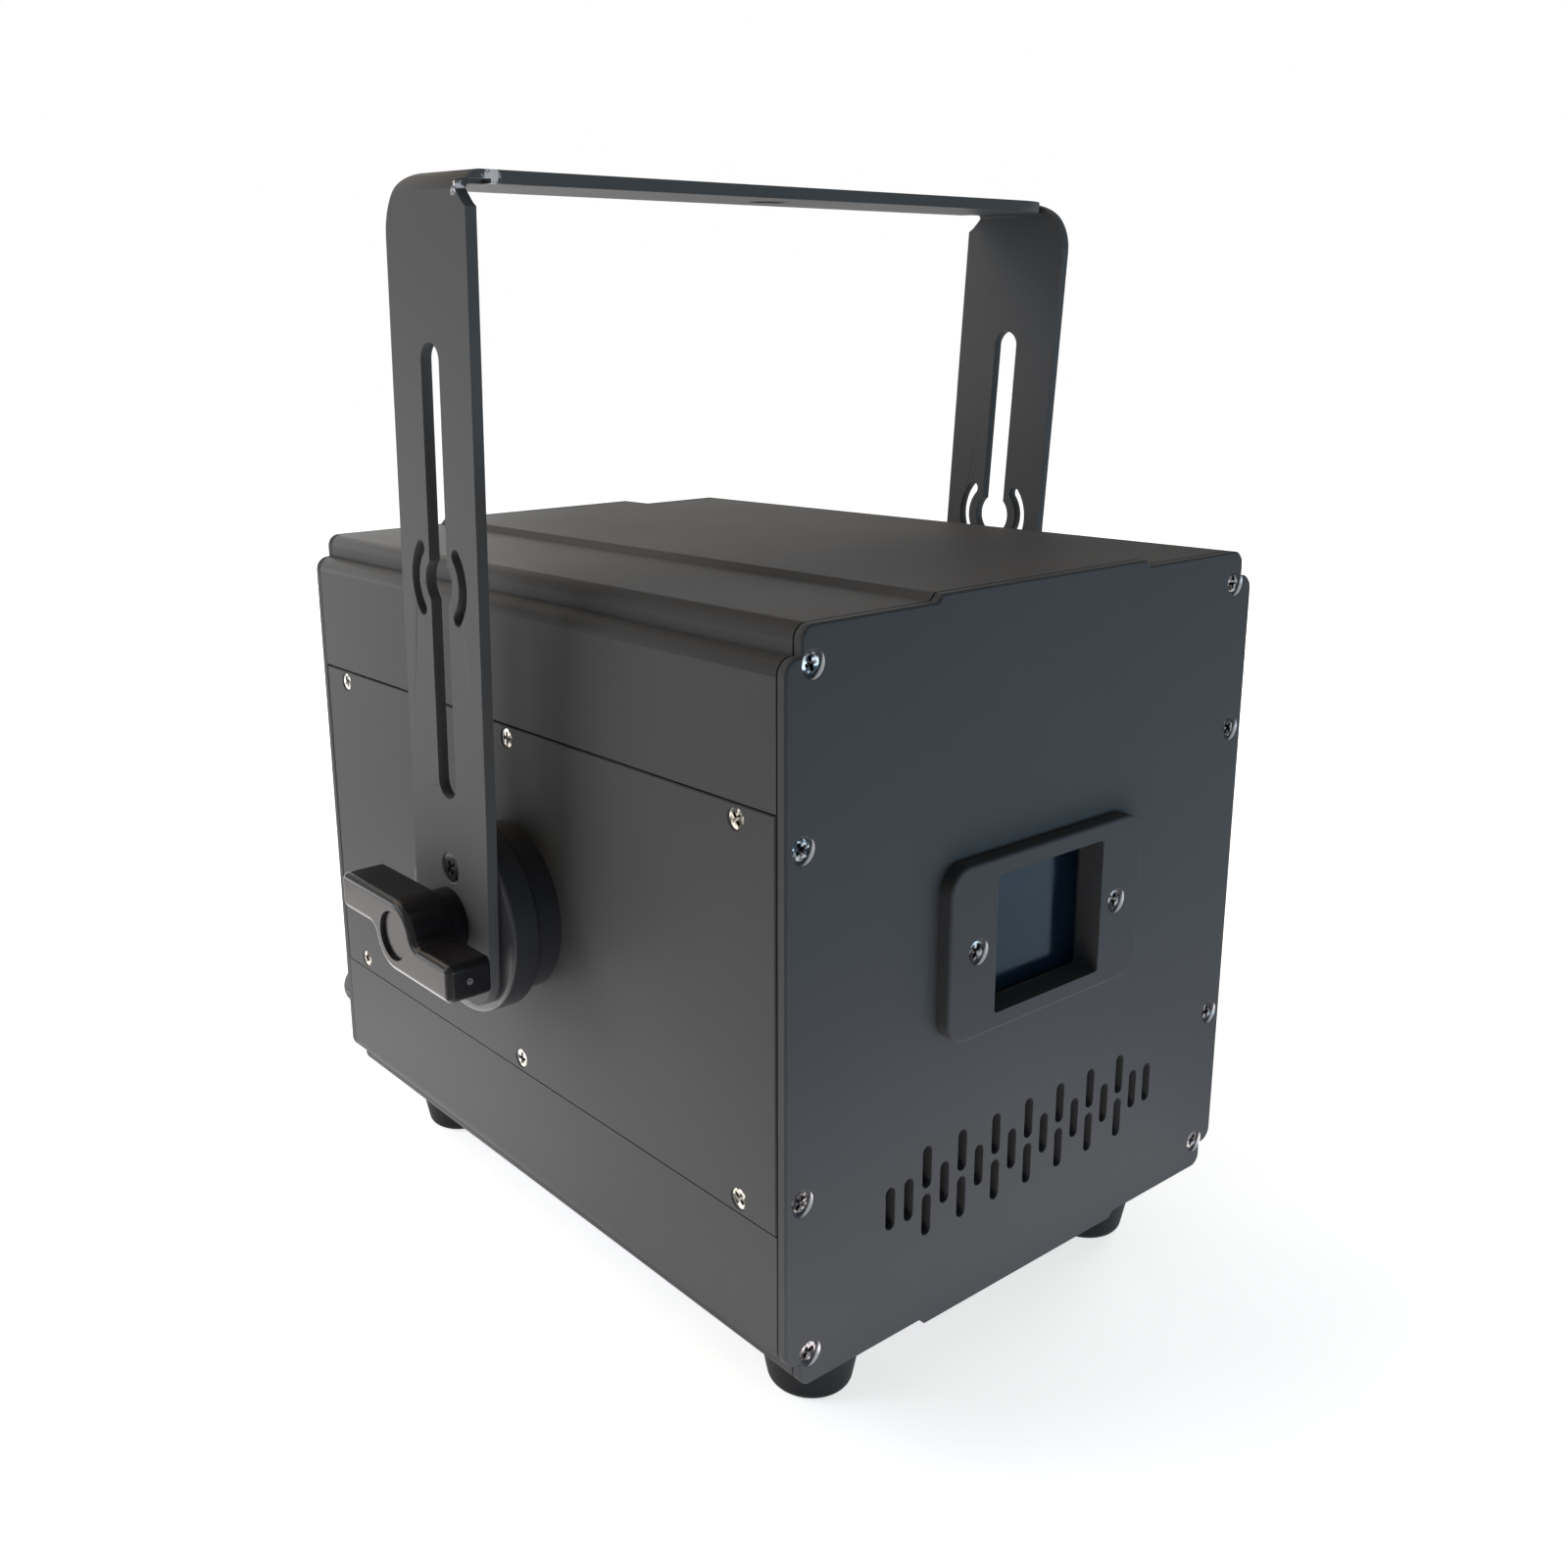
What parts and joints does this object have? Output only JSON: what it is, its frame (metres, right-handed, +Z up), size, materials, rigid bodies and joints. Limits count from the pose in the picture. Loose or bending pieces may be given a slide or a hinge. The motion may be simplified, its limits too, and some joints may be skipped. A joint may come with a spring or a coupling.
{
  "type": "laser show projector",
  "caption": "Box-shaped laser show projector with a framed beam window, vent slots, rubber feet and a slotted yoke bracket clamped by wing knobs on pivot discs.",
  "frame": {"origin": "floor point under the middle of the bounding box, feet standing on Z = 0", "axes": "+X to the right seen from the front, +Y to the rear (the beam leaves along -Y), +Z up"},
  "size_m": [0.2422, 0.2384, 0.298],
  "materials": {
    "case_paint": "satin dark grey paint on extruded aluminium",
    "panel_paint": "satin mid grey paint on sheet aluminium",
    "plate_paint": "satin charcoal paint on sheet aluminium",
    "yoke_paint": "satin dark grey paint on bent steel strip",
    "bezel": "black anodised",
    "window_glass": "polished, coated",
    "gasket": "soft foam rubber",
    "foot_rubber": "moulded, matt",
    "disc_plastic": "moulded, fine grain",
    "knob_plastic": "moulded, semi gloss",
    "nickel_screw": "nickel plated",
    "black_screw": "black oxide",
    "steel": "turned",
    "brass": "turned",
    "connector_plastic": "moulded",
    "connector_metal": "nickel plated",
    "rocker": "moulded, gloss",
    "lock_metal": "polished",
    "display": "smoked acrylic",
    "button": "moulded",
    "board": "solder mask",
    "fan_plastic": "moulded",
    "optics_metal": "black anodised",
    "bare_aluminium": "machined",
    "mirror": "coated glass",
    "supply_metal": "pressed sheet"
  },
  "bodies": {
    "case": {"top_shell": "case_paint", "bottom_shell": "case_paint", "left_side_panel": "panel_paint", "right_side_panel": "panel_paint", "side_panel_screws": "nickel_screw", "front_plate": "plate_paint", "front_plate_screws": "nickel_screw", "rear_plate": "plate_paint", "rear_plate_screws": "nickel_screw", "window_bezel": "bezel", "bezel_screws": "nickel_screw", "window_gasket": "gasket", "window_glass": "window_glass", "glass_holder": "optics_metal", "foot_screws": "steel", "front_left_foot": "foot_rubber", "front_right_foot": "foot_rubber", "rear_left_foot": "foot_rubber", "rear_right_foot": "foot_rubber", "left_case_disc": "disc_plastic", "right_case_disc": "disc_plastic", "pivot_inserts": "brass", "mains_inlet": "connector_plastic", "fuse_holder": "connector_plastic", "switch_frame": "connector_plastic", "signal_in_socket": "connector_plastic", "signal_out_socket": "connector_plastic", "data_socket": "connector_metal", "lock_body": "lock_metal", "display_window": "display", "safety_eye": "steel", "rear_fitting_screws": "black_screw", "control_board": "board", "fan_frame": "fan_plastic", "optics_bed": "bare_aluminium", "laser_modules": "optics_metal", "beam_mirrors": "mirror", "scanner_block": "bare_aluminium", "scanner_motors": "steel", "driver_board": "board", "power_supply": "supply_metal"},
    "yoke": {"yoke_bracket": "yoke_paint", "left_yoke_disc": "disc_plastic", "right_yoke_disc": "disc_plastic", "yoke_disc_screws": "black_screw"},
    "left_knob": {"left_clamp_knob": "knob_plastic", "left_knob_cap": "knob_plastic", "left_clamp_stud": "steel"},
    "right_knob": {"right_clamp_knob": "knob_plastic", "right_knob_cap": "knob_plastic", "right_clamp_stud": "steel"},
    "fan": {"fan_rotor": "fan_plastic"},
    "pan_scanner": {"pan_mirror": "mirror"},
    "tilt_scanner": {"tilt_mirror": "mirror"},
    "rocker": {"power_rocker": "rocker"},
    "lock": {"lock_barrel": "lock_metal"},
    "button_1": {"menu_button_1": "button"},
    "button_2": {"menu_button_2": "button"},
    "button_3": {"menu_button_3": "button"},
    "button_4": {"menu_button_4": "button"}
  },
  "joints": [
    {"name": "yoke_tilt", "type": "hinge", "parent": "case", "child": "yoke", "pos_m": [0, -0.00525, 0.111], "axis": [1, 0, 0], "range_deg": [-113.1, 106.9]},
    {"name": "left_knob_turn", "type": "hinge", "parent": "case", "child": "left_knob", "pos_m": [-0.112, -0.00525, 0.111], "axis": [-1, 0, 0], "range_deg": [0, 180]},
    {"name": "right_knob_turn", "type": "hinge", "parent": "case", "child": "right_knob", "pos_m": [0.112, -0.00525, 0.111], "axis": [1, 0, 0], "range_deg": [0, 180]},
    {"name": "fan_spin", "type": "hinge", "parent": "case", "child": "fan", "pos_m": [0, 0.09475, 0.16123], "axis": [0, 1, 0], "continuous": true},
    {"name": "pan_scan", "type": "hinge", "parent": "case", "child": "pan_scanner", "pos_m": [0, -0.07525, 0.1051], "axis": [0, 1, 0], "range_deg": [-12, 12]},
    {"name": "tilt_scan", "type": "hinge", "parent": "case", "child": "tilt_scanner", "pos_m": [0, -0.07525, 0.1171], "axis": [1, 0, 0], "range_deg": [-12, 12]},
    {"name": "power_switch", "type": "hinge", "parent": "case", "child": "rocker", "pos_m": [-0.06199, 0.10295, 0.08303], "axis": [-1, 0, 0], "range_deg": [0, 16]},
    {"name": "lock_turn", "type": "hinge", "parent": "case", "child": "lock", "pos_m": [0.06552, 0.10475, 0.08503], "axis": [0, -1, 0], "range_deg": [0, 90]},
    {"name": "menu_button_1_press", "type": "slide", "parent": "case", "child": "button_1", "axis": [0, -1, 0], "range_m": [0, 0.0008], "stiffness_N_per_m": 1200, "springref_m": -0.0004},
    {"name": "menu_button_2_press", "type": "slide", "parent": "case", "child": "button_2", "axis": [0, -1, 0], "range_m": [0, 0.0008], "stiffness_N_per_m": 1200, "springref_m": -0.0004},
    {"name": "menu_button_3_press", "type": "slide", "parent": "case", "child": "button_3", "axis": [0, -1, 0], "range_m": [0, 0.0008], "stiffness_N_per_m": 1200, "springref_m": -0.0004},
    {"name": "menu_button_4_press", "type": "slide", "parent": "case", "child": "button_4", "axis": [0, -1, 0], "range_m": [0, 0.0008], "stiffness_N_per_m": 1200, "springref_m": -0.0004}
  ]
}
